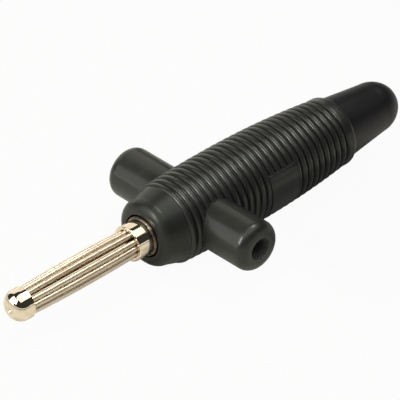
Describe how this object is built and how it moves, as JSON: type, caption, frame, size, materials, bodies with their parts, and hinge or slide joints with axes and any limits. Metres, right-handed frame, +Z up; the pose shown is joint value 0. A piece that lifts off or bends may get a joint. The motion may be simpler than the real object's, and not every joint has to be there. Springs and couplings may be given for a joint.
{
  "type": "banana plug",
  "caption": "Banana plug with a pin of bunched spring wires, a ribbed black handle with two hollow cross arms, and a tapering cable boot.",
  "frame": {"origin": "on the surface that the plug lies on, under the middle of its length", "axes": "+X along the plug from the pin's tip to the cable end, +Y along the arms, +Z up"},
  "size_m": [0.0631, 0.0234, 0.0109],
  "materials": {
    "handle_plastic": "satin black moulded plastic",
    "boot_rubber": "soft matte black",
    "plated_metal": "polished warm nickel plating",
    "spring_metal": "drawn and plated wire",
    "contact_brass": "turned brass",
    "screw_steel": "turned steel"
  },
  "bodies": {
    "plug": {"handle": "handle_plastic", "cable_boot": "boot_rubber", "contact_body": "contact_brass", "collar": "plated_metal", "core_pin": "plated_metal", "tip_cap": "plated_metal", "spring_wire_1": "spring_metal", "spring_wire_2": "spring_metal", "spring_wire_3": "spring_metal", "spring_wire_4": "spring_metal", "spring_wire_5": "spring_metal", "spring_wire_6": "spring_metal", "spring_wire_7": "spring_metal", "spring_wire_8": "spring_metal", "spring_wire_9": "spring_metal", "spring_wire_10": "spring_metal", "spring_wire_11": "spring_metal", "spring_wire_12": "spring_metal"},
    "left_screw": {"clamp_screw_left": "screw_steel"},
    "right_screw": {"clamp_screw_right": "screw_steel"}
  },
  "joints": [
    {"name": "left_screw_travel", "type": "slide", "parent": "plug", "child": "left_screw", "axis": [0, 1, 0], "range_m": [-0.0011, 0.0009]},
    {"name": "right_screw_travel", "type": "slide", "parent": "plug", "child": "right_screw", "axis": [0, -1, 0], "range_m": [-0.0011, 0.0009]}
  ]
}
